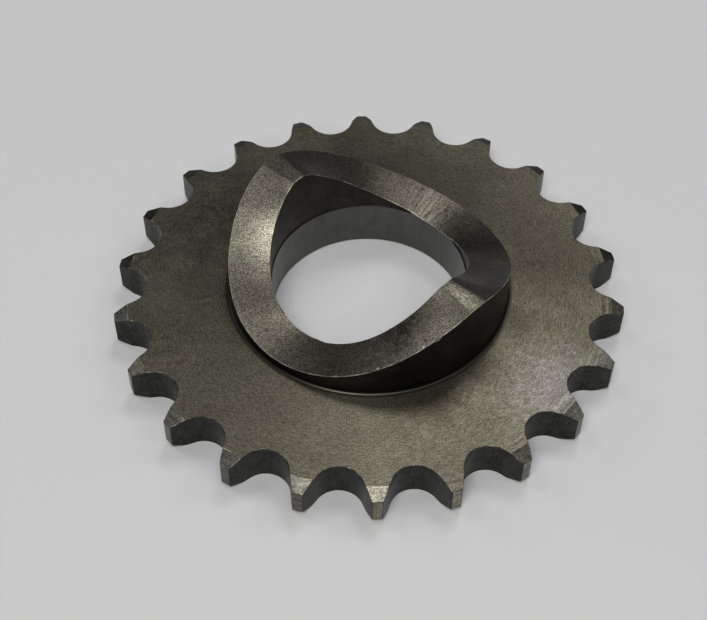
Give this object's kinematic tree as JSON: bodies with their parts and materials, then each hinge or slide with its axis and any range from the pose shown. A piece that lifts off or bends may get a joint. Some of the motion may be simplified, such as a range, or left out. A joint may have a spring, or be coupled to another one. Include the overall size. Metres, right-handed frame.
{
  "type": "engine sprocket",
  "caption": "Engine sprocket for a roller chain, with a plain bore and a lobed face cam on its hub for a spring-loaded shock absorber drive, machined from one piece of steel.",
  "frame": {"origin": "centre of the bore at the flat back face", "axes": "+Z along the bore axis, out of the face cam; +X through the middle of a tooth gap"},
  "size_m": [0.0918, 0.0924, 0.0213],
  "materials": {
    "machined_steel": "bare machined and ground steel with a dull brownish grey film"
  },
  "bodies": {
    "root": {"engine_sprocket": "machined_steel"}
  },
  "joints": []
}
